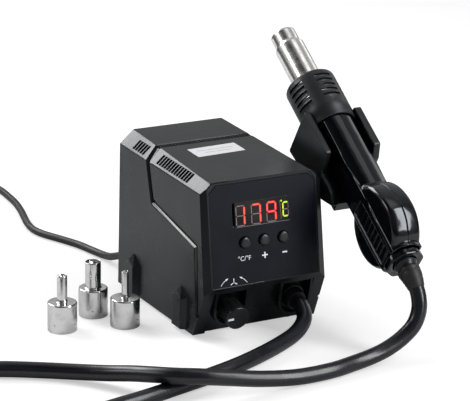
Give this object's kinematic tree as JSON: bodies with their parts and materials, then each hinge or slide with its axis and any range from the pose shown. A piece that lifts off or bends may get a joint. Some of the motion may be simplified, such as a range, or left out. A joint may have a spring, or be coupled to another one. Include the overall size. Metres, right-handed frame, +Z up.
{
  "type": "hot air rework station",
  "caption": "Black bench hot air rework station with a sloping control panel, a blower gun resting in a side holder on a looped hose, a coiled mains lead and loose nozzles.",
  "frame": {"origin": "on the bench, under the middle of the control box's footprint", "axes": "+X to the right seen from the control panel, +Y from the control panel to the rear wall, +Z up"},
  "size_m": [0.4949, 0.6586, 0.2181],
  "materials": {
    "housing": "satin black moulded",
    "base": "moulded",
    "rubber": "matt",
    "panel": "dark blue-black printed film",
    "window": "clear dark tint",
    "led": "lit segments",
    "circuit_board": "green board",
    "parts": "electronic parts",
    "screw": "zinc plated",
    "button": "satin",
    "knob": "satin with a white pointer",
    "shaft": "turned",
    "gland": "moulded",
    "core_iron": "varnished laminations",
    "winding": "enamelled copper",
    "fin_metal": "plain",
    "holder": "satin black moulded",
    "handle": "glossy black",
    "guard": "matt heat-resistant",
    "tube_steel": "brushed, slight heat tint",
    "mica": "mica sheet",
    "ceramic": "fired ceramic",
    "heater_wire": "resistance wire",
    "motor": "dark",
    "nozzle_steel": "polished stainless steel",
    "cord": "black flexible sleeve",
    "plug": "moulded",
    "pin_metal": "nickel plated"
  },
  "bodies": {
    "station": {"base_plate": "base", "rubber_feet": "rubber", "base_screws": "screw", "front_shell": "housing", "rear_shell": "housing", "control_panel": "panel", "display_window": "window", "led_display": "led", "control_board": "circuit_board", "board_screws": "screw", "tact_switches": "parts", "potentiometer": "parts", "hose_gland": "gland", "transformer_core": "core_iron", "transformer_winding": "winding", "power_board": "circuit_board", "board_parts": "parts", "heatsink": "fin_metal", "mains_cord_grip": "gland", "holder_bracket": "holder", "bracket_screws": "screw", "holder_cradle": "holder", "cradle_screws": "screw", "gun_hose": "cord", "mains_lead": "cord", "mains_coil": "cord", "cord_tie": "cord", "mains_plug": "plug", "plug_pins": "pin_metal"},
    "gun": {"handle_shell_left": "handle", "handle_shell_right": "handle", "handle_screws": "screw", "heat_guard": "guard", "heater_tube": "tube_steel", "mica_tube": "mica", "heater_core": "ceramic", "heater_coil": "heater_wire", "core_mount": "ceramic", "blower_motor": "motor", "handle_end_collar": "rubber", "hose_boot": "rubber"},
    "impeller": {"blower_impeller": "motor"},
    "knob": {"air_knob": "knob", "knob_shaft": "shaft"},
    "unit_button": {"button_unit": "button"},
    "plus_button": {"button_plus": "button"},
    "minus_button": {"button_minus": "button"},
    "left_nozzle": {"nozzle_collar_left": "nozzle_steel", "nozzle_outlet_left": "nozzle_steel"},
    "middle_nozzle": {"nozzle_collar_middle": "nozzle_steel", "nozzle_outlet_middle": "nozzle_steel"},
    "right_nozzle": {"nozzle_collar_right": "nozzle_steel", "nozzle_outlet_right": "nozzle_steel"}
  },
  "joints": [
    {"name": "gun_lift", "type": "slide", "parent": "station", "child": "gun", "axis": [0, -0.5736, 0.8192], "range_m": [0, 0.06]},
    {"name": "impeller_spin", "type": "hinge", "parent": "gun", "child": "impeller", "pos_m": [0.085, -0.11868, 0.09], "axis": [1, 0, 0], "continuous": true},
    {"name": "knob_turn", "type": "hinge", "parent": "station", "child": "knob", "pos_m": [-0.0295, -0.0735, 0.024], "axis": [0, -0.9781, -0.2079], "range_deg": [-240, 60]},
    {"name": "unit_press", "type": "slide", "parent": "station", "child": "unit_button", "axis": [0, 0.9903, -0.1392], "range_m": [0, 0.0007], "stiffness_N_per_m": 900},
    {"name": "plus_press", "type": "slide", "parent": "station", "child": "plus_button", "axis": [0, 0.9903, -0.1392], "range_m": [0, 0.0007], "stiffness_N_per_m": 900},
    {"name": "minus_press", "type": "slide", "parent": "station", "child": "minus_button", "axis": [0, 0.9903, -0.1392], "range_m": [0, 0.0007], "stiffness_N_per_m": 900},
    {"name": "left_nozzle_lift", "type": "slide", "parent": "station", "child": "left_nozzle", "axis": [0, 0, 1], "range_m": [0, 0.05]},
    {"name": "middle_nozzle_lift", "type": "slide", "parent": "station", "child": "middle_nozzle", "axis": [0, 0, 1], "range_m": [0, 0.05]},
    {"name": "right_nozzle_lift", "type": "slide", "parent": "station", "child": "right_nozzle", "axis": [0, 0, 1], "range_m": [0, 0.05]}
  ]
}
